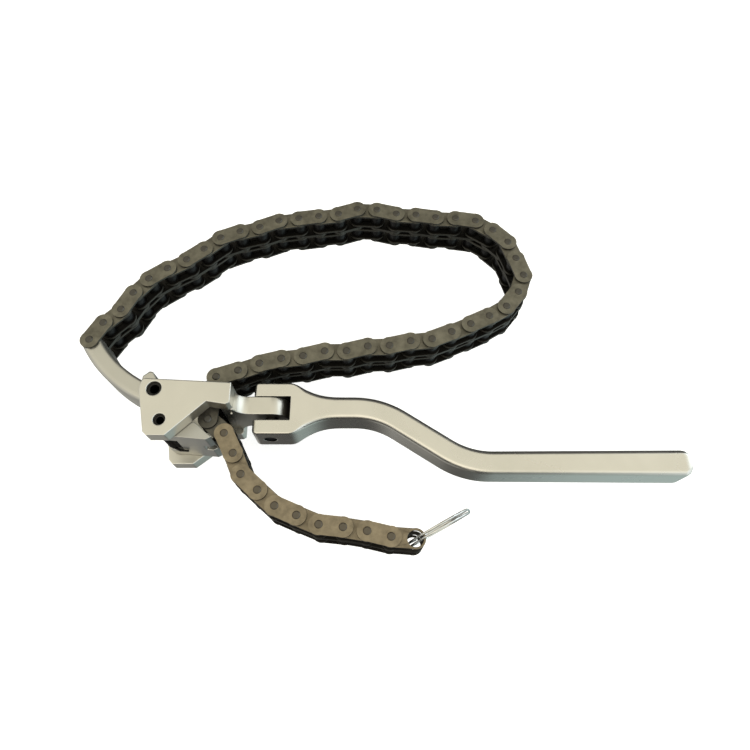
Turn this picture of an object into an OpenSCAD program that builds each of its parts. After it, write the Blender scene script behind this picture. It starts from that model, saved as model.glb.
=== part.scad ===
// Double chain oil filter wrench. A forged head holds a duplex roller chain in a loop.
// One chain end is pinned to a curved jaw arm; the other runs out past a sprung pawl as a free tail
// with a split ring. A cranked handle is hinged to the head's tongue.
// Millimetres. X runs along the handle, Z along the chain pins, and the arm pivot stands on the origin.

/* [Chain] */
// Distance from one pin to the next
pitch = 9.525; // [9.3:0.005:9.75]
// Height of the link plates at their rounded ends
plate_height = 8.2; // [7.4:0.1:8.6]
// Thickness of the outer plates
outer_plate = 1.0; // [0.8:0.1:1.4]
// Thickness of the inner plates
inner_plate = 1.3; // [1:0.1:1.6]
// Thickness of the plate between the two strands
middle_plate = 1.7; // [1.3:0.1:2]
// Width between the inner plates of one strand
inner_width = 5.7; // [5:0.1:6.4]
// Diameter of the rollers
roller_d = 6.35; // [5.9:0.05:6.7]
// Diameter of the chain pins
pin_d = 3.28; // [2.9:0.02:3.5]
// Wall thickness of the bushes
bush_wall = 0.75; // [0.6:0.05:0.85]
// Height of the riveted pin ends above the outer plates
pin_end = 0.5; // [0.2:0.1:1]

/* [Head] */
// Thickness of the upper and lower plate
head_plate = 7; // [5:0.5:9]
// Free height between the chain and each plate
head_play = 2.6; // [1.5:0.1:4]
// Left end of the plates, measured from the arm pivot
head_left = -6; // [-7:0.1:-5]
// Right end of the plates
head_right = 31; // [30:0.1:34]
// Back edge of the plates
head_back = 4.4; // [4:0.1:6]
// Front edge of the upper plate
head_front = -19.8; // [-22:0.1:-19.4]
// Further reach of the lower plate to the front
lower_lip = 2.5; // [1.5:0.1:3]
// Where the chain runs through the head
channel_x = 21.2; // [20.8:0.1:21.8]
// Direction of the chain in the head
channel_heading = -95; // [-97:1:-93]
// Width of the tongue that takes the handle
tongue_w = 7.8; // [6.6:0.1:8.6]
// Thickness of the tongue
tongue_t = 15.2; // [12:0.1:15.6]
// Hollow fillet between the head and its tongue
tongue_fillet = 6; // [3:0.5:7]
// Diameter of the arm pin
arm_pin_d = 6.2; // [5:0.1:7]
// Diameter of the pawl pin
pawl_pin_d = 5; // [4:0.1:5.6]
// Pawl pivot, right of the arm pivot
pawl_x = 3.8; // [3:0.1:4.6]
// Pawl pivot, in front of the arm pivot
pawl_y = -13.2; // [-14:0.1:-12.8]

/* [Jaw arm] */
// Distance from the arm pivot to the first chain pin
arm_reach = 44.2; // [40:0.1:48]
// Direction of the first chain pin from the arm pivot
arm_heading = 142.2; // [136:0.1:148]
// Width of the arm seen along the pins
arm_width = 8.4; // [7:0.1:9.5]
// Radius of the arm's bow
arm_bow = 60; // [45:1:80]
// Rounding along the outside of the bow
arm_round = 2.4; // [1:0.1:2.8]
// Reach of the hooked nose beyond the hub
nose_reach = 5.2; // [4:0.1:6]
// Radius of the hub round the arm pin
hub_r = 5.4; // [4.8:0.1:6]

/* [Handle] */
// Handle hinge, right of the arm pivot
hinge_x = 45.4; // [45:0.1:48]
// Middle of the fork
hinge_y = -3.8; // [-4.2:0.1:-3.4]
// Diameter of the hinge pin
hinge_pin_d = 5.6; // [4.5:0.1:6.2]
// Depth of the pin's ends below the sides of the fork
pin_sink = 0.5; // [0.3:0.1:1.5]
// Width of the bar
bar_w = 10; // [8:0.1:12]
// Height of the bar and the fork
bar_h = 16; // [14:0.1:18]
// Rounding along the edges of the bar
bar_edge = 1.8; // [1:0.1:2.4]
// How far the bar's middle lies behind the fork's middle
bar_shift = 0.5; // [0:0.1:1]
// Outer width of the fork
fork_w = 22.9; // [21:0.1:25]
// Width of the fork's slot
fork_gap = 10.6; // [9.6:0.1:11.6]
// Reach of the fork in front of the hinge
fork_front = 7.2; // [5:0.1:7.6]
// Depth of the fork's slot behind the hinge
fork_slot = 8.6; // [8.4:0.1:10.5]
// Length of the neck between the fork and the bar
neck_length = 22; // [18:0.5:26]
// Start of the crank, right of the arm pivot
crank_x = 81; // [79:1:90]
// Bend radius of the crank
crank_r = 35; // [25:1:45]
// Bend angle of the crank
crank_angle = 33; // [25:1:36]
// Straight piece in the middle of the crank
crank_run = 23; // [15:1:28]
// Far end of the handle, right of the arm pivot
handle_end = 220.4; // [190:0.1:250]
// Rounding of the corners at the end of the handle
end_round = 2.8; // [1:0.1:4]

/* [Split ring and spring] */
// Middle radius of the split ring
ring_r = 13.8; // [13.4:0.1:18]
// Wire of the split ring
ring_wire = 1; // [0.8:0.05:1.05]
// Step between the two turns of the split ring
ring_step = 1.45; // [1.45:0.05:1.6]
// Direction in which the ring stands off the tail
ring_yaw = 28.8; // [10:0.2:45]
// Lean of the ring to one side
ring_tip = 3.8; // [0:0.2:4]
// Middle radius of the pawl spring
spring_r = 4.4; // [3.8:0.1:4.6]
// Wire of the pawl spring
spring_wire = 1; // [0.8:0.05:1.1]
// Turns of the pawl spring
spring_turns = 8; // [4:1:8]

/* [Clearances] */
// Radial clearance of everything that turns on a pin
run_fit = 0.05; // [0.03:0.01:0.09]
// Radial gap drawn round pressed pieces, so that each stays a solid of its own
press_gap = 0.02; // [0.01:0.01:0.04]
// Sideways play between chain plates
side_play = 0.1; // [0.05:0.01:0.2]
// Play of the arm and the pawl between the head's plates
plate_play = 0.4; // [0.2:0.05:0.8]
// Play of the chain plates beside the head's web
channel_play = 0.7; // [0.6:0.1:1.2]
// Play between the tongue and the far leg of the fork
fork_play = 0.15; // [0.1:0.05:0.6]
// Play between the split ring and the hole in the last link
ring_play = 0.12; // [0.05:0.01:0.3]

/* [Hidden] */
$fn = 48;

// heights in the chain, measured from its middle plane
mid_half = middle_plate / 2;
low_in = mid_half + side_play;
roller_low = low_in + inner_plate;
roller_high = roller_low + inner_width;
high_in = roller_high + inner_plate;
high_out = high_in + side_play;
chain_half = high_out + outer_plate;
pin_half = chain_half + pin_end;
strand_mid = (roller_low + roller_high) / 2;

// diameters on the pins
bush_bore = pin_d + 2 * run_fit;
bush_od = bush_bore + 2 * bush_wall;
roller_bore = bush_od + 2 * run_fit;
plate_waist = plate_height - 0.3;

// head
gap = 2 * (pin_half + head_play);
head_h = gap + 2 * head_plate;
mid_z = head_h / 2;
inside_h = gap - 2 * plate_play;
web_left = channel_x + plate_height / 2 + channel_play;
web_front = -6.7;
web_back = 2.6;
foot_left = -1.8;
foot_right = 6.7;
upper_outline = [
  [head_left + 0.8, head_back - 0.4],
  [head_left - 0.1, head_back - 4.4],
  [foot_left - 0.3, head_front + 1.4],
  [foot_left + 1.2, head_front],
  [foot_right, head_front],
  [channel_x + 0.4, web_front + 1.2],
  [head_right - 1.6, web_front],
  [head_right, web_front + 0.8],
  [head_right, web_back],
  [head_left + 2, head_back]
];
lower_outline = [
  [head_left + 1, head_back - 0.4],
  [foot_left + 0.8, head_front - lower_lip + 1.8],
  [foot_left + 2.4, head_front - lower_lip],
  [foot_right + 1.2 * lower_lip, head_front - lower_lip],
  [channel_x + 2 * lower_lip, web_front + 1.2 - 1.4 * lower_lip],
  [head_right - 1, web_front - 0.8 * lower_lip],
  [head_right, web_front + 0.8 - 0.8 * lower_lip],
  [head_right, web_back],
  [head_left + 2.2, head_back]
];

// the lie of the chain: the direction of the first link, then the turn at each pin
upper_turns = [60, -15, 18, -12, -16, -5, 8, 3, -19, -7, 7, -14, 0, 0, 10, -21, -11, 10, -5, 6, -6,
  -25, -12, -26, -2];
lower_turns = [19, 2, -6, -7, 7, -14, 14, -12, 11, -7, 16, 2, 1, 6, 20, 19];
tail_turns = [-40, -23, -3, 24, 1, 18, 1, 16, -3, -4, 9];
last_loop_link = len(upper_turns) + len(lower_turns);
first_tail_link = last_loop_link + 4;
last_link = last_loop_link + 2 + len(tail_turns);

function along(a) = [cos(a), sin(a)];
function bearing(p) = atan2(p.y, p.x);
function headings(turns) = [
  for (i = 0, a = turns[0]; i < len(turns); i = i + 1, a = a + (i < len(turns) ? turns[i] : 0)) a
];
function stride(dirs, i) = i < len(dirs) ? pitch * along(dirs[i]) : [0, 0];
function path(start, dirs) = [
  for (i = 0, p = start; i <= len(dirs); p = p + stride(dirs, i), i = i + 1) p
];
function last(v) = v[len(v) - 1];
function swung(dirs, a) = [for (d = dirs) d + a];

// the loop is closed by swinging its upper run about the arm tip and its lower run about the head
arm_tip = arm_reach * along(arm_heading);
pin_43 = [channel_x, 0];
pin_42 = pin_43 - pitch * along(channel_heading);
pin_44 = pin_43 + pitch * along(channel_heading);
upper_span = last(path([0, 0], headings(upper_turns)));
lower_span = last(path([0, 0], headings(lower_turns)));
base = pin_42 - arm_tip;
base_cos = (norm(upper_span) ^ 2 + norm(base) ^ 2 - norm(lower_span) ^ 2)
  / (2 * norm(upper_span) * norm(base));
upper_bearing = bearing(base) + acos(max(-1, min(1, base_cos)));
far_pin = arm_tip + norm(upper_span) * along(upper_bearing);
upper_pins = path(arm_tip, swung(headings(upper_turns), upper_bearing - bearing(upper_span)));
lower_pins = path(pin_42, swung(headings(lower_turns), bearing(far_pin - pin_42) - bearing(lower_span)));
tail_pins = path(pin_44, headings(tail_turns));
pins = concat(
  upper_pins,
  [for (i = [len(lower_turns) - 1:-1:0]) lower_pins[i]],
  [pin_43],
  tail_pins
);
function pin_at(k) = pins[k - 1];
function link_heading(k) = bearing(pin_at(k + 1) - pin_at(k));
function is_outer(k) = k % 2 == 1;
function link_name(k) = str(is_outer(k) ? "outer_link_" : "inner_link_", k < 10 ? "0" : "", k);

// handle
fork_back = hinge_x + fork_slot;
tongue_y = hinge_y + fork_gap / 2 - fork_play - tongue_w / 2;
bar_y = hinge_y + bar_shift;
// the straight runs reach a little into the bends, which are a hair slimmer, so that they join cleanly
bend_slim = 0.02;
run_in = 0.3;
crank_mid = [crank_x + crank_r * sin(crank_angle), bar_y - crank_r * (1 - cos(crank_angle))];
crank_out = crank_mid + crank_run * along(-crank_angle);
crank_end = crank_out + [crank_r * sin(crank_angle), -crank_r * (1 - cos(crank_angle))];
// the neck narrows from the fork to just inside the bar's rounded edges
neck_start = fork_back + 1;
neck_end_w = bar_w / 2 - 0.55 * bar_edge;
neck_steps = 14;
function neck_side(i, side) = let (t = i / neck_steps, left = (1 - t ^ 1.25) ^ 3.2) [
  neck_start + neck_length * t,
  (1 - left) * (bar_y + side * neck_end_w) + left * (hinge_y + side * fork_w / 2)
];
fork_outline = concat(
  [[hinge_x - fork_front, hinge_y + fork_w / 2]],
  [for (i = [0:neck_steps]) neck_side(i, 1)],
  [for (i = [neck_steps:-1:0]) neck_side(i, -1)],
  [[hinge_x - fork_front, hinge_y - fork_w / 2]]
);

// arm bow: its middle lies on the loop's side of the line from the pivot to the tip
bow_half = asin(arm_reach / 2 / arm_bow);
bow_centre = arm_tip / 2 + arm_bow * cos(bow_half) * along(arm_heading - 90);
bow_start = bearing(arm_tip - bow_centre);

// pawl, drawn from the held link at the head's mouth
tooth_heading = tail_turns[0];
tooth_across = along(tooth_heading - 90);
mouth_mid = pin_44 + pitch / 2 * along(tooth_heading);
tooth_face = plate_height / 2 + 0.7;
tooth_tip = 1.9;
tooth_w = inner_width - 0.9;
spring_h = spring_turns * (spring_wire + 0.5);
pawl_eye = spring_h + spring_wire + 0.6;
pawl_hub = pawl_pin_d / 2 + 2.3;
toe_length = 0.67 * pitch;
toe_belly = 1.8 * pawl_pin_d;
toe_slot_h = 2 * roller_low + 0.4;

// split ring: where its middle line crosses the last link
ring_sag = ring_r - sqrt(ring_r ^ 2 - high_in ^ 2);
ring_lean = asin(high_in / ring_r);
ring_reach = ring_sag / 2 + ring_wire / 2 / cos(ring_lean);
ring_shift = high_in * tan(ring_tip);
ring_hole = 2 * (norm([ring_reach, (ring_step + ring_wire) / 2 + ring_shift]) + ring_play);
ring_mid = ring_r - ring_sag / 2;

// a tube swept along points, with a six-sided section and flat ends
function unit(v) = v / norm(v);
function way(p, i) = unit(p[min(i + 1, len(p) - 1)] - p[max(i - 1, 0)]);
function section(p, i, side, r) =
  let (t = way(p, i), u = unit(cross(cross(t, side), t)), v = cross(t, u))
  [for (a = [0:60:300]) p[i] + r * (cos(a) * u + sin(a) * v)];
module wire(p, d, side) {
  n = len(p);
  points = [for (i = [0:n - 1]) each section(p, i, side, d / 2)];
  walls = [
    for (i = [0:n - 2], a = [0:5]) let (b = (a + 1) % 6, k = 6 * i) each [
      [k + a, k + b, k + 6 + b],
      [k + a, k + 6 + b, k + 6 + a]
    ]
  ];
  start = [for (a = [1:4]) [0, a + 1, a]];
  finish = [for (a = [1:4]) [6 * n - 6, 6 * n - 6 + a, 6 * n - 6 + a + 1]];
  polyhedron(points = points, faces = concat(start, walls, finish), convexity = 6);
}

// the least gap between points of a path that lie at least some steps apart
function least_gap(p, d, apart) = min([
  for (i = [0:len(p) - 1], k = [i + apart:1:len(p) - 1]) norm(p[i] - p[k])
]) - d;

module tube(low, high, outer, inner) {
  translate([0, 0, low]) difference() {
    cylinder(h = high - low, d = outer);
    translate([0, 0, -1]) cylinder(h = high - low + 2, d = inner);
  }
}

module pin_stick(half, d, edge) {
  cylinder(h = 2 * half - 2 * edge, d = d, center = true);
  translate([0, 0, half - edge]) cylinder(h = edge, d1 = d, d2 = d - 2 * edge);
  translate([0, 0, -half]) cylinder(h = edge, d1 = d - 2 * edge, d2 = d);
}

// a straight-sided link plate from the origin to the next pin
module link_plate(low, thick, first_hole, next_hole) {
  translate([0, 0, low]) difference() {
    union() {
      cylinder(h = thick, d = plate_height);
      translate([pitch, 0, 0]) cylinder(h = thick, d = plate_height);
      translate([0, -plate_waist / 2, 0]) cube([pitch, plate_waist, thick]);
    }
    translate([0, 0, -1]) cylinder(h = thick + 2, d = first_hole);
    translate([pitch, 0, -1]) cylinder(h = thick + 2, d = next_hole);
  }
}

module outer_link() {
  hole = pin_d + 2 * press_gap;
  link_plate(high_out, outer_plate, hole, hole);
  link_plate(-chain_half, outer_plate, hole, hole);
  link_plate(-mid_half, middle_plate, hole, hole);
  pin_stick(pin_half, pin_d, 0.4);
  translate([pitch, 0, 0]) pin_stick(pin_half, pin_d, 0.4);
}

module inner_link(next_hole) {
  hole = bush_od + 2 * press_gap;
  for (side = [-1, 1]) {
    low = side > 0 ? low_in : -high_in;
    link_plate(low, inner_plate, hole, next_hole > 0 ? next_hole : hole);
    link_plate(low + inner_plate + inner_width, inner_plate, hole, next_hole > 0 ? next_hole : hole);
    for (x = next_hole > 0 ? [0] : [0, pitch]) translate([x, 0, 0]) {
      tube(low, low + high_in - low_in, bush_od, bush_bore);
      roller_foot = low + inner_plate + side_play;
      tube(roller_foot, roller_foot + inner_width - 2 * side_play, roller_d, roller_bore);
    }
  }
}

// link k runs from pin k to pin k + 1; the last one has open holes for the split ring
module chain_link(k) {
  translate([pin_at(k).x, pin_at(k).y, mid_z]) rotate([0, 0, link_heading(k)]) {
    if (is_outer(k)) color([0.50, 0.47, 0.40]) outer_link();
    else color([0.42, 0.40, 0.35]) inner_link(k == last_link ? ring_hole : 0);
  }
}

module held_links() {
  for (k = [last_loop_link + 1:first_tail_link - 1]) chain_link(k);
}

// a hollow corner between the head and one side of its tongue
module tongue_corner() {
  r = tongue_fillet;
  short = r - 0.6;
  difference() {
    translate([head_right - 1, tongue_y - tongue_w / 2, mid_z + tongue_t / 2 - 1])
      cube([short + 1, tongue_w, short + 1]);
    translate([head_right + r, tongue_y, mid_z + tongue_t / 2 + r]) rotate([90, 0, 0])
      cylinder(h = tongue_w + 2, r = r, center = true);
  }
}

module head_body() {
  color([0.78, 0.76, 0.70]) difference() {
    union() {
      translate([0, 0, head_h - head_plate]) linear_extrude(head_plate) polygon(upper_outline);
      linear_extrude(head_plate) polygon(lower_outline);
      translate([web_left, web_front + 0.8, 0])
        cube([head_right - web_left, web_back - web_front - 0.8, head_h]);
      translate([head_right - 2, tongue_y - tongue_w / 2, mid_z - tongue_t / 2])
        cube([hinge_x - head_right + 2, tongue_w, tongue_t]);
      translate([hinge_x, tongue_y, mid_z]) rotate([90, 0, 0])
        cylinder(h = tongue_w, d = tongue_t, center = true);
      tongue_corner();
      translate([0, 0, head_h]) mirror([0, 0, 1]) tongue_corner();
    }
    translate([0, 0, -1]) cylinder(h = head_h + 2, d = arm_pin_d + 2 * press_gap);
    translate([pawl_x, pawl_y, -1]) cylinder(h = head_h + 2, d = pawl_pin_d + 2 * press_gap);
    translate([hinge_x, tongue_y, mid_z]) rotate([90, 0, 0])
      cylinder(h = tongue_w + 2, d = hinge_pin_d + 2 * run_fit, center = true);
  }
}

// hollow pins, set a little below the faces of the plates
module pivot_pins() {
  color([0.55, 0.54, 0.52]) {
    tube(1, head_h - 1, arm_pin_d, arm_pin_d - 2.4);
    translate([pawl_x, pawl_y, 0]) tube(1.5, head_h - 1.5, pawl_pin_d, pawl_pin_d - 2);
  }
}

// the bow's section: well rounded on the outside, a little on the inside
function bow_edge(r, x, y, from) = [for (a = [from:30:from + 90]) [x + r * cos(a), y + r * sin(a)]];
function bow_section(w, h) = concat(
  bow_edge(arm_round, w - arm_round, h - arm_round, 0),
  bow_edge(arm_round / 2, arm_round / 2 - w, h - arm_round / 2, 90),
  bow_edge(arm_round / 2, arm_round / 2 - w, arm_round / 2 - h, 180),
  bow_edge(arm_round, w - arm_round, arm_round - h, 270)
);
module jaw_arm() {
  tip_h = 2 * high_in;
  nose = [
    [-hub_r - 0.65 * nose_reach, 0.3 * hub_r],
    [-hub_r - nose_reach / 2, hub_r + 0.6 * nose_reach],
    [-hub_r, hub_r + nose_reach],
    [-hub_r + 1.4, hub_r + nose_reach - 0.2],
    [-hub_r + 3.2, hub_r + 0.4 * nose_reach],
    [0, hub_r - 0.8],
    [0, 0]
  ];
  color([0.76, 0.74, 0.68]) difference() {
    union() {
      translate([0, 0, mid_z]) cylinder(h = inside_h, r = hub_r, center = true);
      translate([0, 0, mid_z - inside_h / 2]) linear_extrude(inside_h) polygon(nose);
      translate([bow_centre.x, bow_centre.y, mid_z]) rotate([0, 0, bow_start])
        rotate_extrude(angle = 2 * bow_half)
          translate([arm_bow, 0]) polygon(bow_section(arm_width / 2, tip_h / 2));
      translate([arm_tip.x, arm_tip.y, mid_z]) rotate([0, 0, arm_heading])
        cylinder(h = tip_h, d = arm_width - 0.4, center = true);
    }
    translate([0, 0, -1]) cylinder(h = head_h + 2, d = arm_pin_d + 2 * run_fit);
    translate([arm_tip.x, arm_tip.y, 0]) {
      cylinder(h = head_h, d = pin_d + 2 * run_fit);
      translate([0, 0, mid_z])
        cylinder(h = middle_plate + 2 * side_play, d = plate_height + 3, center = true);
    }
  }
}

// one tooth for each strand, between the rollers of the held link at the mouth
module pawl_tooth() {
  root = mouth_mid + (tooth_face + 1) * tooth_across;
  tip = mouth_mid + tooth_tip * tooth_across;
  linear_extrude(tooth_w, center = true) polygon([
    root - 2.6 * along(tooth_heading),
    tip - 0.8 * along(tooth_heading),
    tip + 0.8 * along(tooth_heading),
    root + 2.6 * along(tooth_heading)
  ]);
}

module pawl() {
  toe_back = mouth_mid + tooth_face * tooth_across - toe_length * along(tooth_heading);
  toe_front = mouth_mid + tooth_face * tooth_across + 3 * along(tooth_heading);
  toe = [
    [pawl_x, pawl_y + pawl_hub - 0.3],
    toe_back,
    toe_front,
    [toe_front.x - 2.2, toe_front.y - 1.2],
    [pawl_x + toe_belly, pawl_y - pawl_hub - 0.6],
    [pawl_x, pawl_y - pawl_hub + 0.2]
  ];
  color([0.72, 0.71, 0.67]) difference() {
    union() {
      translate([pawl_x, pawl_y, mid_z]) cylinder(h = inside_h, r = pawl_hub, center = true);
      translate([0, 0, mid_z - inside_h / 2]) linear_extrude(inside_h) polygon(toe);
      for (side = [-1, 1]) translate([0, 0, mid_z + side * strand_mid]) pawl_tooth();
    }
    translate([pawl_x, pawl_y, -1]) cylinder(h = head_h + 2, d = pawl_pin_d + 2 * run_fit);
    translate([pawl_x, pawl_y, mid_z])
      cylinder(h = pawl_eye, r = spring_r + spring_wire + 0.9, center = true);
    translate([toe_front.x, toe_front.y, mid_z]) rotate([0, 0, tooth_heading])
      cube([0.7 * pitch, pitch, toe_slot_h], center = true);
  }
}

// a wound spring round the pawl pin, with one leg to the toe and one towards the arm
module pawl_spring() {
  steps = 8 * spring_turns;
  coil = [
    for (i = [0:steps]) let (a = 45 * i) [
      pawl_x + spring_r * cos(a),
      pawl_y + spring_r * sin(a),
      mid_z - spring_h / 2 + spring_h * i / steps
    ]
  ];
  low_leg = coil[0] - [0, 0.6 * spring_r, 0];
  high_leg = last(coil) + [0, 1.1 * spring_r, 0];
  line = concat([low_leg], coil, [high_leg]);
  echo(spring_least_gap = least_gap(coil, spring_wire, 5));
  color([0.08, 0.08, 0.08]) wire(line, spring_wire, [0, 0, 1]);
}

module hinge_pin() {
  color([0.52, 0.51, 0.49]) translate([hinge_x, hinge_y, mid_z]) rotate([90, 0, 0])
    pin_stick(fork_w / 2 - pin_sink, hinge_pin_d, 0.4);
}

// one rounded corner of the bar's section, and the section as it is drawn for sweeping
function corner(w, h, from) = [
  for (a = [from:30:from + 90]) [
    sign(cos(from + 45)) * (w - bar_edge) + bar_edge * cos(a),
    sign(sin(from + 45)) * (h - bar_edge) + bar_edge * sin(a)
  ]
];
module bar_section(slim) {
  w = bar_w / 2 - slim;
  h = bar_h / 2 - slim;
  polygon([for (from = [0:90:270]) each corner(w, h, from)]);
}

module bar_run(start, heading, length) {
  translate([start.x, start.y, 0]) rotate([0, 0, heading]) translate([-run_in, 0, 0]) rotate([90, 0, 90])
    linear_extrude(length + 2 * run_in) bar_section(0);
}

module bar_bend(centre, from) {
  translate([centre.x, centre.y, 0]) rotate([0, 0, from]) rotate_extrude(angle = crank_angle)
    translate([crank_r, 0]) bar_section(bend_slim);
}

// what is taken off a corner at the end of the bar to round it
module end_corner(side) {
  translate([handle_end - end_round, crank_end.y + side * (bar_w / 2 - end_round), 0]) difference() {
    translate([0, side > 0 ? 0 : -end_round - 1, -bar_h]) cube([end_round + 1, end_round + 1, 2 * bar_h]);
    cylinder(h = 3 * bar_h, r = end_round, center = true);
  }
}

module handle() {
  bar_start = neck_start + 3;
  color([0.80, 0.78, 0.72]) translate([0, 0, mid_z]) difference() {
    union() {
      linear_extrude(bar_h, center = true) polygon(fork_outline);
      bar_run([bar_start, bar_y], 0, crank_x - bar_start);
      bar_bend([crank_x, bar_y - crank_r], 90 - crank_angle);
      bar_run(crank_mid, -crank_angle, crank_run);
      bar_bend(crank_end + [0, crank_r], -90 - crank_angle);
      bar_run(crank_end, 0, handle_end - run_in - crank_end.x);
    }
    for (side = [-1, 1]) end_corner(side);
    for (side = [-1, 1]) translate([handle_end, crank_end.y, side * bar_h / 2]) rotate([0, 45, 0])
      cube([end_round / 2, 2 * bar_w, end_round / 2], center = true);
    translate([hinge_x - fork_front - 1, hinge_y - fork_gap / 2, -bar_h])
      cube([fork_front + fork_slot + 1, fork_gap, 2 * bar_h]);
    translate([hinge_x, hinge_y, 0]) rotate([90, 0, 0])
      cylinder(h = fork_w + 2, d = hinge_pin_d + 2 * press_gap, center = true);
    for (side = [-1, 1]) translate([hinge_x - fork_front, hinge_y, side * bar_h / 2]) rotate([0, 45, 0])
      cube([3.4, fork_w + 2, 3.4], center = true);
  }
}

// two flat turns of wire with one short step between them, standing upright through the last link
module split_ring() {
  steps = 46;
  turn = [
    for (i = [0:steps]) let (a = 45 + 15 * i, over = max(0, min(1, (a - 375) / 30))) [
      ring_mid + ring_r * cos(a - 15),
      ring_step * (over - 0.5),
      ring_r * sin(a - 15)
    ]
  ];
  echo(ring_least_gap = least_gap(turn, ring_wire, 12));
  color([0.85, 0.85, 0.86]) translate([last(pins).x, last(pins).y, mid_z]) rotate([ring_tip, 0, ring_yaw])
    wire(turn, ring_wire, [0, 1, 0]);
}

head_body();
pivot_pins();
jaw_arm();
pawl();
pawl_spring();
hinge_pin();
handle();
for (k = [1:last_loop_link]) chain_link(k);
held_links();
for (k = [first_tail_link:last_link]) chain_link(k);
split_ring();
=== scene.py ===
from math import cos, radians, sin

import bpy
from mathutils import Matrix, Vector


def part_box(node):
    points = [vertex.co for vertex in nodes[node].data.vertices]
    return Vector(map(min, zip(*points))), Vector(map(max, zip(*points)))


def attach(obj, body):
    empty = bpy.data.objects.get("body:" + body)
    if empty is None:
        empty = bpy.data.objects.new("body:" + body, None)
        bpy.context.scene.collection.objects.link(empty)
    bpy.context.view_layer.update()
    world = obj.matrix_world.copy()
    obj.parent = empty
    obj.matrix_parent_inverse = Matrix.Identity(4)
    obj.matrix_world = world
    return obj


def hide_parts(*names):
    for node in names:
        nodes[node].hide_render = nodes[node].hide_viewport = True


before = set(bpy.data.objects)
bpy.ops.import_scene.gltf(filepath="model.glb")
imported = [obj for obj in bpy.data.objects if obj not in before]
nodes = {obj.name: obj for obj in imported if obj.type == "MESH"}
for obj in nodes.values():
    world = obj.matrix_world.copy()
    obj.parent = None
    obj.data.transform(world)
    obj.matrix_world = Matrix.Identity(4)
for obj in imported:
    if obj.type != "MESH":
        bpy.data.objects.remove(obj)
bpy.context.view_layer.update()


# Head: one steel forging of two thick plates joined by a web, with a tongue for the handle.
# It is blasted and satin plated, so it has a fine even grain, a faint warm tint
# and slightly brighter metal where the edges have been rubbed.
def grain_of_blasted_plating():
    group = bpy.data.node_groups.new("BlastedPlating", "ShaderNodeTree")
    for name, kind, start in [
        ("Plating", "NodeSocketColor", (0.7, 0.67, 0.6, 1)),
        ("Rubbed", "NodeSocketColor", (0.8, 0.8, 0.78, 1)),
        ("Roughness", "NodeSocketFloat", 0.34),
        ("Grain size", "NodeSocketFloat", 2600.0),
        ("Edge width", "NodeSocketFloat", 0.0007),
    ]:
        group.interface.new_socket(name, in_out="INPUT", socket_type=kind).default_value = start
    group.interface.new_socket("Color", in_out="OUTPUT", socket_type="NodeSocketColor")
    group.interface.new_socket("Roughness", in_out="OUTPUT", socket_type="NodeSocketFloat")
    group.interface.new_socket("Height", in_out="OUTPUT", socket_type="NodeSocketFloat")
    group.interface.new_socket("Rounded", in_out="OUTPUT", socket_type="NodeSocketVector")
    make, link = group.nodes.new, group.links.new
    given = make("NodeGroupInput")
    out = make("NodeGroupOutput")
    where = make("ShaderNodeTexCoord")
    grain = make("ShaderNodeTexNoise")
    grain.inputs["Detail"].default_value = 3
    link(where.outputs["Object"], grain.inputs["Vector"])
    link(given.outputs["Grain size"], grain.inputs["Scale"])
    cloud = make("ShaderNodeTexNoise")
    cloud.inputs["Scale"].default_value = 55
    cloud.inputs["Detail"].default_value = 4
    link(where.outputs["Object"], cloud.inputs["Vector"])
    tone = make("ShaderNodeMapRange")
    tone.inputs["From Min"].default_value = 0.3
    tone.inputs["From Max"].default_value = 0.7
    tone.inputs["To Min"].default_value = 0.94
    tone.inputs["To Max"].default_value = 1.04
    link(cloud.outputs["Fac"], tone.inputs["Value"])
    tinted = make("ShaderNodeVectorMath")
    tinted.operation = "SCALE"
    link(given.outputs["Plating"], tinted.inputs[0])
    link(tone.outputs["Result"], tinted.inputs["Scale"])
    rounded = make("ShaderNodeBevel")
    rounded.samples = 8
    link(given.outputs["Edge width"], rounded.inputs["Radius"])
    face = make("ShaderNodeNewGeometry")
    meeting = make("ShaderNodeVectorMath")
    meeting.operation = "DOT_PRODUCT"
    link(rounded.outputs["Normal"], meeting.inputs[0])
    link(face.outputs["Normal"], meeting.inputs[1])
    worn = make("ShaderNodeMapRange")
    worn.inputs["From Min"].default_value = 0.98
    worn.inputs["From Max"].default_value = 0.8
    link(meeting.outputs["Value"], worn.inputs["Value"])
    mixed = make("ShaderNodeMix")
    mixed.data_type = "RGBA"
    link(worn.outputs["Result"], mixed.inputs["Factor"])
    link(tinted.outputs["Vector"], mixed.inputs["A"])
    link(given.outputs["Rubbed"], mixed.inputs["B"])
    link(mixed.outputs["Result"], out.inputs["Color"])
    dull = make("ShaderNodeMath")
    dull.operation = "MULTIPLY_ADD"
    dull.inputs[1].default_value = 0.12
    link(cloud.outputs["Fac"], dull.inputs[0])
    link(given.outputs["Roughness"], dull.inputs[2])
    link(dull.outputs["Value"], out.inputs["Roughness"])
    link(grain.outputs["Fac"], out.inputs["Height"])
    link(rounded.outputs["Normal"], out.inputs["Rounded"])
    return group


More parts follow.
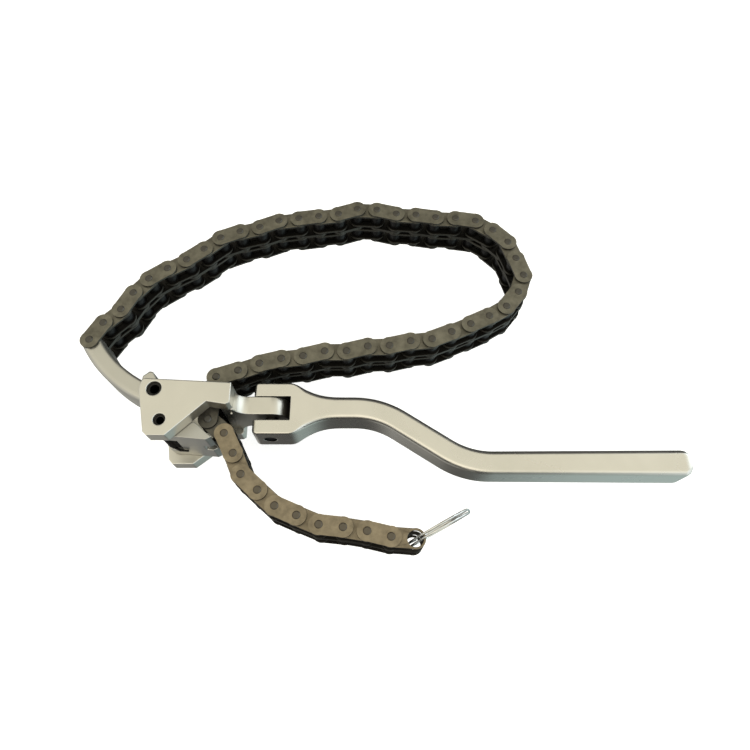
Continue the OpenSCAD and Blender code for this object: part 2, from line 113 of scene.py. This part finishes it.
def satin_plating(name, plating, rubbed, roughness, grain_size, grain_depth, edge_width=0.0005):
    material = bpy.data.materials.new(name)
    material.use_nodes = True
    tree = material.node_tree
    steel = tree.nodes["Principled BSDF"]
    steel.inputs["Metallic"].default_value = 1.0
    finish = tree.nodes.new("ShaderNodeGroup")
    finish.node_tree = blasted_plating
    finish.inputs["Plating"].default_value = (*plating, 1)
    finish.inputs["Rubbed"].default_value = (*rubbed, 1)
    finish.inputs["Roughness"].default_value = roughness
    finish.inputs["Grain size"].default_value = grain_size
    finish.inputs["Edge width"].default_value = edge_width
    bump = tree.nodes.new("ShaderNodeBump")
    bump.inputs["Strength"].default_value = 0.35
    bump.inputs["Distance"].default_value = grain_depth
    tree.links.new(finish.outputs["Color"], steel.inputs["Base Color"])
    tree.links.new(finish.outputs["Roughness"], steel.inputs["Roughness"])
    tree.links.new(finish.outputs["Height"], bump.inputs["Height"])
    tree.links.new(finish.outputs["Rounded"], bump.inputs["Normal"])
    tree.links.new(bump.outputs["Normal"], steel.inputs["Normal"])
    return material


def finish_piece(name, material):
    piece = nodes[name]
    piece.data.materials.clear()
    piece.data.materials.append(material)
    return piece


def ease_edges(piece, width, segments):
    weld = piece.modifiers.new("joined_faces", "WELD")
    weld.merge_threshold = 0.00004
    ease = piece.modifiers.new("eased_edges", "BEVEL")
    ease.width = width
    ease.segments = segments
    ease.limit_method = "ANGLE"
    ease.angle_limit = radians(28)
    ease.harden_normals = True
    return piece


blasted_plating = grain_of_blasted_plating()
head_plating = satin_plating(
    "head_plating", (0.70, 0.672, 0.600), (0.78, 0.78, 0.75), 0.31, 2400, 0.00006, 0.0007
)
ease_edges(finish_piece("head_body", head_plating), 0.0004, 3)


# Arm pin and pawl pin: two hollow turned pins, pressed into the head a little below its faces.
# They are painted near-black, a painted shade that makes the holes in the head look dark.
painted_shade_metal = satin_plating(
    "painted_shade_pin_metal", (0.03, 0.029, 0.028), (0.09, 0.088, 0.085), 0.36, 3600, 0.00003, 0.0002
)
ease_edges(finish_piece("pivot_pins", painted_shade_metal), 0.00025, 2)


# Jaw arm: a forged bow between the head's plates, with a hub, a hooked nose and a slotted tip.
# It turns on the arm pin and carries the first chain pin.
arm_plating = satin_plating(
    "arm_plating", (0.575, 0.556, 0.498), (0.70, 0.70, 0.68), 0.33, 2400, 0.00006, 0.001
)
ease_edges(finish_piece("jaw_arm", arm_plating), 0.0007, 3)


# Pawl: a forged block on its own pin with two teeth that drop between the chain's rollers.
# It has the same blasted plating as the head, a little rougher and painted darker as shade under the head's
# upper plate.
pawl_plating_in_painted_shade = satin_plating(
    "pawl_plating_in_painted_shade", (0.52, 0.51, 0.475), (0.85, 0.86, 0.86), 0.33, 2400, 0.00006
)
ease_edges(finish_piece("pawl", pawl_plating_in_painted_shade), 0.0004, 2)


# Pawl spring: a coil of black spring wire round the pawl pin that keeps the teeth in the chain.
# The wire is oil-tempered, so it is dark with a dull shine.
spring_black = satin_plating(
    "oil_tempered_wire", (0.02, 0.019, 0.018), (0.05, 0.05, 0.05), 0.34, 5200, 0.00002, 0.0001
)


def round_wire(piece):
    weld = piece.modifiers.new("joined_faces", "WELD")
    weld.merge_threshold = 0.00004
    smooth = piece.modifiers.new("round_wire", "SUBSURF")
    smooth.levels = 2
    smooth.render_levels = 2


round_wire(finish_piece("pawl_spring", spring_black))


# Spring leg: the wire's end, laid from the coil along the front of the pawl.
# It rides with the pawl, which turns about the coil's own middle.
coil_low, coil_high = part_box("pawl_spring")
leg_wire = 0.001
leg_z = coil_low[2] + 0.0018
leg_front = coil_low[1] - 0.0007
leg_curve = bpy.data.curves.new("spring_leg", "CURVE")
leg_curve.dimensions = "3D"
leg_curve.bevel_depth = leg_wire / 2
leg_curve.bevel_resolution = 3
leg_curve.use_fill_caps = True
leg_line = leg_curve.splines.new("POLY")
coil_middle_x = (coil_low[0] + coil_high[0]) / 2
leg_points = [
    (coil_middle_x, coil_low[1] + leg_wire / 2, leg_z),
    (coil_middle_x + 0.0025, leg_front, leg_z + 0.0001),
    (coil_high[0] + 0.0012, leg_front - 0.0002, leg_z + 0.0002),
]
leg_line.points.add(len(leg_points) - 1)
for point, place in zip(leg_line.points, leg_points):
    point.co = (*place, 1)
leg_shape = bpy.data.objects.new("leg_shape", leg_curve)
bpy.context.scene.collection.objects.link(leg_shape)
leg_ready = leg_shape.evaluated_get(bpy.context.evaluated_depsgraph_get())
spring_leg = bpy.data.objects.new("spring_leg", bpy.data.meshes.new_from_object(leg_ready))
bpy.data.objects.remove(leg_shape)
bpy.context.scene.collection.objects.link(spring_leg)
spring_leg.data.materials.clear()
spring_leg.data.materials.append(spring_black)
spring_leg.data.shade_smooth()
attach(spring_leg, "pawl")


# Hinge pin: a plain steel pin through the fork and the tongue, set a little below the fork's sides.
# It is painted near-black, as painted shade for the recess it is set in.
ease_edges(finish_piece("hinge_pin", painted_shade_metal), 0.0003, 2)


# Handle: a forged bar with a fork at the hinge, two bends in its middle and a squared end.
# Its skin is one smooth run of rounded sections, from which the fork's slot and the pin hole are cut.
# The neck's width is averaged over a short stretch, so the fork flows into the bar as on the forging.
handle_plating = satin_plating(
    "handle_plating", (0.70, 0.672, 0.605), (0.74, 0.72, 0.66), 0.22, 2200, 0.00007, 0.0006
)
handle_low, handle_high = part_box("handle")
hinge_low, hinge_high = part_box("hinge_pin")
hinge_at = [(low + high) / 2 for low, high in zip(hinge_low, hinge_high)]
bar_middle_z = (handle_low[2] + handle_high[2]) / 2
bar_half_height = (handle_high[2] - handle_low[2]) / 2
bar_half_width = 0.005
bar_end_half_width = 0.0055
bar_rounding = 0.0024
fork_rounding = 0.0009
fork_half_width = handle_high[1] - hinge_at[1]
fork_slot_half = 0.0053
fork_slot_end = hinge_at[0] + 0.0086
neck_start = fork_slot_end + 0.001
neck_length = 0.022
neck_ease = 0.0018
bend_start = 0.081
bend_radius = 0.035
bend_angle = radians(33)
bend_run = 0.023
bar_shift = 0.0005


def bar_ring(x, y, heading, half_width, rounding, inset, sink):
    ring = []
    for quarter in range(4):
        for step in range(7):
            angle = radians(90 * quarter + 15 * step)
            sideways = (1, -1, -1, 1)[quarter] * (half_width - inset - rounding)
            upwards = (1, 1, -1, -1)[quarter] * (bar_half_height - sink - rounding)
            sideways += rounding * cos(angle)
            upwards += rounding * sin(angle)
            ring.append((x - sin(heading) * sideways, y + cos(heading) * sideways, bar_middle_z + upwards))
    return ring


def fork_share(x):
    eased = 0
    for step in range(-4, 5):
        along = min(1, max(0, (x + neck_ease * step / 4 - neck_start) / neck_length))
        eased += (1 - along**1.25) ** 3.2 / 9
    return eased


def handle_rings():
    fork_end, bar_end, bar_y = 0.0022, 0.0036, hinge_at[1] + bar_shift
    low_y = bar_y - 2 * bend_radius * (1 - cos(bend_angle)) - bend_run * sin(bend_angle)
    bend_end = bend_start + 2 * bend_radius * sin(bend_angle) + bend_run * cos(bend_angle)
    rings = []
    for step in range(5):
        turned = radians(22.5 * step)
        x = handle_low[0] + fork_end * (1 - sin(turned))
        inset = fork_end * (1 - cos(turned))
        rings.insert(0, bar_ring(x, hinge_at[1], 0, fork_half_width, fork_rounding, inset, inset))
    for step in range(37):
        x = neck_start - neck_ease + (neck_length + neck_ease) * step / 36
        left = fork_share(x)
        rounding = fork_rounding + (bar_rounding - fork_rounding) * min(1, (1 - left) / 0.4)
        half_width = left * fork_half_width + (1 - left) * bar_half_width
        y = left * hinge_at[1] + (1 - left) * bar_y
        rings.append(bar_ring(x, y, 0, half_width, rounding, 0, 0))
    for step in range(13):
        turned = bend_angle * step / 12
        x = bend_start + bend_radius * sin(turned)
        y = bar_y - bend_radius * (1 - cos(turned))
        rings.append(bar_ring(x, y, -turned, bar_half_width, bar_rounding, 0, 0))
    for step in range(13):
        turned = bend_angle * (1 - step / 12)
        x = bend_end - bend_radius * sin(turned)
        y = low_y + bend_radius * (1 - cos(turned))
        rings.append(bar_ring(x, y, -turned, bar_half_width, bar_rounding, 0, 0))
    for step in range(5):
        turned = radians(22.5 * step)
        x = handle_high[0] - bar_end * (1 - sin(turned))
        inset = bar_end * (1 - cos(turned))
        rounding = bar_rounding * (1 - 0.4 * (1 - cos(turned)))
        rings.append(bar_ring(x, low_y, 0, bar_end_half_width, rounding, inset, inset / 3))
    return rings


def cutter(name, points, faces):
    mesh = bpy.data.meshes.new(name)
    mesh.from_pydata(points, [], faces)
    mesh.materials.append(handle_plating)
    mesh.materials.append(painted_shade_metal)
    # Every cut face takes the near-black pin metal: painted shade on the slot's walls and in the pin hole.
    for face in mesh.polygons:
        face.material_index = 1
    piece = bpy.data.objects.new(name, mesh)
    bpy.context.scene.collection.objects.link(piece)
    return piece


rings = handle_rings()
count = len(rings[0])
skin = bpy.data.meshes.new("handle_skin")
skin.from_pydata(
    [point for ring in rings for point in ring],
    [],
    [
        (k * count + i, k * count + (i + 1) % count, (k + 1) * count + (i + 1) % count, (k + 1) * count + i)
        for k in range(len(rings) - 1)
        for i in range(count)
    ]
    + [tuple(reversed(range(count))), tuple(range((len(rings) - 1) * count, len(rings) * count))],
)
skin.materials.append(handle_plating)
skin.materials.append(painted_shade_metal)
skin.shade_smooth()
handle_skin = bpy.data.objects.new("handle_skin", skin)
bpy.context.scene.collection.objects.link(handle_skin)
cut_reach = 0.02
slot_x = (handle_low[0] - 0.005, fork_slot_end)
slot_y = (hinge_at[1] - fork_slot_half, hinge_at[1] + fork_slot_half)
slot_z = (bar_middle_z - cut_reach, bar_middle_z + cut_reach)
slot_cut = cutter(
    "slot_cut",
    [(x, y, z) for x in slot_x for y in slot_y for z in slot_z],
    [(0, 1, 3, 2), (4, 6, 7, 5), (0, 4, 5, 1), (2, 3, 7, 6), (0, 2, 6, 4), (1, 5, 7, 3)],
)
hole_sides = 48
hole_play = 0.00002
hole_radius = (hinge_high[0] - hinge_low[0]) / 2 + hole_play
hole_cut = cutter(
    "hole_cut",
    [
        (
            hinge_at[0] + hole_radius * cos(radians(360 * i / hole_sides)),
            y,
            bar_middle_z + hole_radius * sin(radians(360 * i / hole_sides)),
        )
        for y in (hinge_at[1] - cut_reach, hinge_at[1] + cut_reach)
        for i in range(hole_sides)
    ],
    [
        (i, hole_sides + i, hole_sides + (i + 1) % hole_sides, (i + 1) % hole_sides)
        for i in range(hole_sides)
    ]
    + [tuple(range(hole_sides)), tuple(reversed(range(hole_sides, 2 * hole_sides)))],
)
for cut in (slot_cut, hole_cut):
    taken = handle_skin.modifiers.new(cut.name, "BOOLEAN")
    taken.operation = "DIFFERENCE"
    taken.object = cut
    taken.solver = "EXACT"
ready = handle_skin.evaluated_get(bpy.context.evaluated_depsgraph_get())
handle_skin.data = bpy.data.meshes.new_from_object(ready)
handle_skin.modifiers.clear()
handle_skin.data.set_sharp_from_angle(angle=radians(38))
for cut in (slot_cut, hole_cut):
    bpy.data.objects.remove(cut)
flats = handle_skin.modifiers.new("flat_faces", "WEIGHTED_NORMAL")
flats.keep_sharp = True
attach(handle_skin, "handle")
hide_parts("handle")


# Chain, outer links: two thin plates and a middle plate on two riveted pins for both strands.
# The stamped plates are brown heat-treated steel; their side faces are dark, partly cut edges and partly
# painted shade, and the pin ends are greyer.
# One plate pattern, without any stamped marks, serves the whole chain.
def chain_steel_zones():
    group = bpy.data.node_groups.new("ChainSteelZones", "ShaderNodeTree")
    for name, kind, start in [
        ("Plate", "NodeSocketColor", (0.2, 0.17, 0.12, 1)),
        ("Cut edge and side shade", "NodeSocketColor", (0.02, 0.018, 0.015, 1)),
        ("Roller", "NodeSocketColor", (0.03, 0.03, 0.03, 1)),
        ("Inside", "NodeSocketColor", (0.02, 0.018, 0.015, 1)),
        ("Pin end", "NodeSocketColor", (0.22, 0.2, 0.17, 1)),
        ("Middle height", "NodeSocketFloat", 0.02045),
        ("Plate roughness", "NodeSocketFloat", 0.42),
        ("Roller roughness", "NodeSocketFloat", 0.42),
    ]:
        group.interface.new_socket(name, in_out="INPUT", socket_type=kind).default_value = start
    group.interface.new_socket("Color", in_out="OUTPUT", socket_type="NodeSocketColor")
    group.interface.new_socket("Roughness", in_out="OUTPUT", socket_type="NodeSocketFloat")
    group.interface.new_socket("Height", in_out="OUTPUT", socket_type="NodeSocketFloat")
    make, link = group.nodes.new, group.links.new
    given = make("NodeGroupInput")
    out = make("NodeGroupOutput")
    where = make("ShaderNodeTexCoord")

    def worked(operation, a, b):
        step = make("ShaderNodeMath")
        step.operation = operation
        for socket, value in zip(step.inputs, (a, b)):
            if isinstance(value, (int, float)):
                socket.default_value = value
            else:
                link(value, socket)
        return step.outputs["Value"]

    def mixed(mask, a, b):
        step = make("ShaderNodeMix")
        step.data_type = "RGBA"
        link(mask, step.inputs["Factor"])
        link(a, step.inputs["A"])
        link(b, step.inputs["B"])
        return step.outputs["Result"]

    place = make("ShaderNodeSeparateXYZ")
    link(where.outputs["Object"], place.inputs["Vector"])
    roller_from, roller_to, inside_below, pin_end_from = 0.00228, 0.00792, 0.0086, 0.01040
    height = worked("SUBTRACT", place.outputs["Z"], given.outputs["Middle height"])
    from_middle = worked("ABSOLUTE", height, 0)
    roller_mask = worked(
        "MULTIPLY",
        worked("GREATER_THAN", from_middle, roller_from),
        worked("LESS_THAN", from_middle, roller_to),
    )
    pin_mask = worked("GREATER_THAN", from_middle, pin_end_from)
    # Side faces, picked by how steeply they stand, take the dark cut-edge colour: partly the plates' own
    # cut edges, partly painted shade.
    facing = make("ShaderNodeSeparateXYZ")
    link(where.outputs["Normal"], facing.inputs["Vector"])
    side_mask = make("ShaderNodeMapRange")
    side_mask.inputs["From Min"].default_value = 0.8
    side_mask.inputs["From Max"].default_value = 0.35
    link(worked("ABSOLUTE", facing.outputs["Z"], 0), side_mask.inputs["Value"])
    blotch = make("ShaderNodeTexNoise")
    blotch.inputs["Scale"].default_value = 240
    blotch.inputs["Detail"].default_value = 5
    blotch.inputs["Roughness"].default_value = 0.62
    link(where.outputs["Object"], blotch.inputs["Vector"])
    shade = make("ShaderNodeMapRange")
    shade.inputs["From Min"].default_value = 0.28
    shade.inputs["From Max"].default_value = 0.72
    shade.inputs["To Min"].default_value = 0.66
    shade.inputs["To Max"].default_value = 1.36
    link(blotch.outputs["Fac"], shade.inputs["Value"])
    plate = make("ShaderNodeVectorMath")
    plate.operation = "SCALE"
    link(given.outputs["Plate"], plate.inputs[0])
    link(shade.outputs["Result"], plate.inputs["Scale"])
    # Faces near the middle of the chain's height, and faces turned in towards it, get painted shade.
    inwards = worked("LESS_THAN", worked("MULTIPLY", height, facing.outputs["Z"]), -0.003)
    inside_shade_mask = worked("MAXIMUM", inwards, worked("LESS_THAN", from_middle, inside_below))
    colour = mixed(inside_shade_mask, plate.outputs["Vector"], given.outputs["Inside"])
    colour = mixed(side_mask.outputs["Result"], colour, given.outputs["Cut edge and side shade"])
    colour = mixed(pin_mask, colour, given.outputs["Pin end"])
    # The roller band takes the near-black roller colour: partly the rollers' oil, partly painted shade
    # between the plates.
    colour = mixed(roller_mask, colour, given.outputs["Roller"])
    link(colour, out.inputs["Color"])
    gloss = make("ShaderNodeMix")
    gloss.data_type = "FLOAT"
    link(roller_mask, gloss.inputs["Factor"])
    link(
        worked("ADD", given.outputs["Plate roughness"], worked("MULTIPLY", blotch.outputs["Fac"], 0.14)),
        gloss.inputs["A"],
    )
    link(given.outputs["Roller roughness"], gloss.inputs["B"])
    link(gloss.outputs["Result"], out.inputs["Roughness"])
    pits = make("ShaderNodeTexNoise")
    pits.inputs["Scale"].default_value = 2600
    pits.inputs["Detail"].default_value = 2
    link(where.outputs["Object"], pits.inputs["Vector"])
    link(pits.outputs["Fac"], out.inputs["Height"])
    return group


def chain_steel(name, plate, cut_edge_and_side_shade, roller, pin_end, plate_roughness):
    material = bpy.data.materials.new(name)
    material.use_nodes = True
    tree = material.node_tree
    steel = tree.nodes["Principled BSDF"]
    steel.inputs["Metallic"].default_value = 0.85
    zones = tree.nodes.new("ShaderNodeGroup")
    zones.node_tree = chain_zones
    zones.inputs["Plate"].default_value = (*plate, 1)
    zones.inputs["Cut edge and side shade"].default_value = (*cut_edge_and_side_shade, 1)
    zones.inputs["Roller"].default_value = (*roller, 1)
    zones.inputs["Pin end"].default_value = (*pin_end, 1)
    zones.inputs["Plate roughness"].default_value = plate_roughness
    bump = tree.nodes.new("ShaderNodeBump")
    bump.inputs["Strength"].default_value = 0.4
    bump.inputs["Distance"].default_value = 0.00005
    tree.links.new(zones.outputs["Color"], steel.inputs["Base Color"])
    tree.links.new(zones.outputs["Roughness"], steel.inputs["Roughness"])
    tree.links.new(zones.outputs["Height"], bump.inputs["Height"])
    tree.links.new(bump.outputs["Normal"], steel.inputs["Normal"])
    return material


chain_zones = chain_steel_zones()
outer_steel = chain_steel(
    "outer_plate_steel",
    (0.182, 0.168, 0.129), (0.074, 0.070, 0.059), (0.021, 0.0205, 0.020), (0.100, 0.092, 0.078), 0.40,
)
tail_outer_steel = chain_steel(
    "tail_outer_steel",
    (0.275, 0.226, 0.154), (0.045, 0.038, 0.030), (0.016, 0.0155, 0.015), (0.134, 0.115, 0.088), 0.40,
)
for number in range(1, 54, 2):
    if f"outer_link_{number:02d}" in nodes:
        steel = tail_outer_steel if number > 44 else outer_steel
        ease_edges(finish_piece(f"outer_link_{number:02d}", steel), 0.0003, 2)


# Chain, inner links: four plates with pressed bushes and turning rollers, two strands high.
# The rollers are dark from their film of oil and from painted shade between the plates, the plates a little
# darker than the outer ones.
inner_steel = chain_steel(
    "inner_plate_steel",
    (0.162, 0.149, 0.115), (0.074, 0.070, 0.059), (0.021, 0.0205, 0.020), (0.100, 0.092, 0.078), 0.42,
)
tail_inner_steel = chain_steel(
    "tail_inner_steel",
    (0.248, 0.203, 0.138), (0.040, 0.034, 0.027), (0.016, 0.0155, 0.015), (0.134, 0.115, 0.088), 0.42,
)
for number in range(2, 55, 2):
    if f"inner_link_{number:02d}" in nodes:
        steel = tail_inner_steel if number > 44 else inner_steel
        ease_edges(finish_piece(f"inner_link_{number:02d}", steel), 0.0003, 2)


# Held links: the three links inside the head, kept there by the pawl's teeth.
# They are the same chain, painted darker as the shade they lie in under the head.
held_in_painted_shade = chain_steel(
    "held_link_painted_shade",
    (0.118, 0.110, 0.092), (0.040, 0.038, 0.034), (0.016, 0.0155, 0.015), (0.105, 0.100, 0.090), 0.40,
)
ease_edges(finish_piece("held_links", held_in_painted_shade), 0.0003, 2)


# Split ring: two turns of bright plated spring wire through the open holes of the last link.
# It stands off the tail as a finger ring to pull the chain tight.
ring_bright = satin_plating(
    "bright_ring_wire", (0.74, 0.73, 0.70), (0.8, 0.8, 0.78), 0.16, 5200, 0.00001, 0.0001
)
round_wire(finish_piece("split_ring", ring_bright))


# Table: a plain pale top under the wrench, wide enough for every view.
# It is matt, and bright enough by itself to keep the shadows faint.
bpy.ops.mesh.primitive_plane_add(size=6, location=(0.09, 0, -0.0002))
table_top = bpy.context.object
table_top.name = "table_top"
table_paint = bpy.data.materials.new("pale_table_paint")
table_paint.use_nodes = True
paint = table_paint.node_tree.nodes["Principled BSDF"]
paint.inputs["Base Color"].default_value = (0.86, 0.86, 0.86, 1)
paint.inputs["Roughness"].default_value = 0.9
paint.inputs["Specular IOR Level"].default_value = 0.1
paint.inputs["Emission Color"].default_value = (1, 1, 1, 1)
paint.inputs["Emission Strength"].default_value = 0.72
table_top.data.materials.append(table_paint)
table_top.visible_glossy = False


# Studio light: a warm ceiling, a cool window on the right with its far pane brighter, a grey floor,
# dim walls, and a warm strip high in front that lights the near edges.
# One weak soft lamp from the right front fills the shadows.
studio = bpy.data.worlds.new("studio")
bpy.context.scene.world = studio
studio.use_nodes = True
air = studio.node_tree
air.nodes.clear()
look = air.nodes.new("ShaderNodeTexCoord")
way = air.nodes.new("ShaderNodeSeparateXYZ")
air.links.new(look.outputs["Generated"], way.inputs["Vector"])


def studio_share(value, low, high):
    share = air.nodes.new("ShaderNodeMapRange")
    share.interpolation_type = "SMOOTHSTEP"
    share.inputs["From Min"].default_value = low
    share.inputs["From Max"].default_value = high
    air.links.new(value, share.inputs["Value"])
    return share.outputs["Result"]


def studio_mix(share, a, b):
    step = air.nodes.new("ShaderNodeMix")
    step.data_type = "RGBA"
    air.links.new(share, step.inputs["Factor"])
    for socket, value in ((step.inputs["A"], a), (step.inputs["B"], b)):
        if isinstance(value, tuple):
            socket.default_value = (*value, 1)
        else:
            air.links.new(value, socket)
    return step.outputs["Result"]


def studio_both(a, b):
    step = air.nodes.new("ShaderNodeMath")
    step.operation = "MULTIPLY"
    air.links.new(a, step.inputs[0])
    air.links.new(b, step.inputs[1])
    return step.outputs["Value"]


across_x, across_y, across_z = way.outputs["X"], way.outputs["Y"], way.outputs["Z"]
floor_left = studio_mix(studio_share(across_x, -0.16, -0.34), (0.09, 0.09, 0.088), (0.44, 0.44, 0.42))
floor = studio_mix(studio_share(across_x, 0.0, 0.38), floor_left, (0.47, 0.58, 0.58))
below = studio_both(studio_share(across_z, -0.1, -0.6), studio_share(across_y, 0.6, 0.2))
left_wall = studio_mix(studio_share(across_x, -0.4, -0.8), (0.09, 0.09, 0.09), (0.75, 0.75, 0.71))
not_behind = studio_share(across_y, 0.72, 0.50)
right_wall = studio_both(studio_share(across_x, 0.12, 0.34), not_behind)
walls = studio_mix(right_wall, left_wall, (0.40, 0.46, 0.46))
with_floor = studio_mix(below, walls, floor)
overhead = studio_both(studio_share(across_z, 0.22, 0.58), studio_share(across_y, 0.74, 0.52))
with_ceiling = studio_mix(overhead, with_floor, (0.98, 0.955, 0.815))
in_front = studio_both(studio_share(across_y, -0.30, -0.50), studio_share(across_z, 0.30, 0.50))
front_strip = studio_both(in_front, studio_share(across_x, 0.20, -0.05))
with_strip = studio_mix(front_strip, with_ceiling, (1.45, 1.38, 1.18))
rightward = studio_both(studio_share(across_x, 0.36, 0.56), studio_share(across_z, -0.6, -0.25))
below_ceiling = studio_both(studio_share(across_z, 0.76, 0.58), not_behind)
window = studio_both(rightward, below_ceiling)
panes = studio_mix(studio_share(across_y, 0.14, 0.30), (1.12, 1.24, 1.30), (2.0, 2.2, 2.3))
with_window = studio_mix(window, with_strip, panes)
glow = air.nodes.new("ShaderNodeBackground")
air.links.new(with_window, glow.inputs["Color"])
plain = air.nodes.new("ShaderNodeBackground")
plain.inputs["Color"].default_value = (1, 1, 1, 1)
seen = air.nodes.new("ShaderNodeLightPath")
chosen = air.nodes.new("ShaderNodeMixShader")
air.links.new(seen.outputs["Is Camera Ray"], chosen.inputs["Fac"])
air.links.new(glow.outputs["Background"], chosen.inputs[1])
air.links.new(plain.outputs["Background"], chosen.inputs[2])
end = air.nodes.new("ShaderNodeOutputWorld")
air.links.new(chosen.outputs["Shader"], end.inputs["Surface"])

soft_lamp = bpy.data.lights.new("soft_lamp", "AREA")
soft_lamp.shape = "RECTANGLE"
soft_lamp.size = 0.7
soft_lamp.size_y = 0.5
soft_lamp.energy = 0.25
soft_lamp.color = (0.93, 0.97, 1.0)
lamp = bpy.data.objects.new("soft_lamp", soft_lamp)
bpy.context.scene.collection.objects.link(lamp)
lamp.location = (0.75, -0.45, 0.65)
lamp.rotation_euler = (Vector((0.09, 0, 0.02)) - lamp.location).to_track_quat("-Z", "Y").to_euler()


# Camera: close above the wrench, looking down steeply from the handle's near side.
# Its place and lens were found from the chain pins, which stand one pitch apart.
tilt, turn, roll = radians(66.8), radians(1.5), radians(1.5)
focal_pixels, picture_pixels = 630, 750
camera_place = (0.0870, -0.0958, 0.2785)
right = Vector((cos(turn), -sin(turn), 0))
forward = Vector((cos(tilt) * sin(turn), cos(tilt) * cos(turn), -sin(tilt)))
up = right.cross(forward)
across = cos(roll) * right + sin(roll) * up
above = cos(roll) * up - sin(roll) * right
camera = bpy.data.cameras.new("photo_camera")
camera.sensor_width = 36
camera.lens = camera.sensor_width * focal_pixels / picture_pixels
camera.clip_start = 0.01
stand = bpy.data.objects.new("photo_camera", camera)
bpy.context.scene.collection.objects.link(stand)
stand.matrix_world = Matrix.Translation(camera_place) @ Matrix(
    (
        (across.x, above.x, -forward.x),
        (across.y, above.y, -forward.y),
        (across.z, above.z, -forward.z),
    )
).to_4x4()
bpy.context.scene.camera = stand
bpy.context.scene.view_settings.view_transform = "Standard"
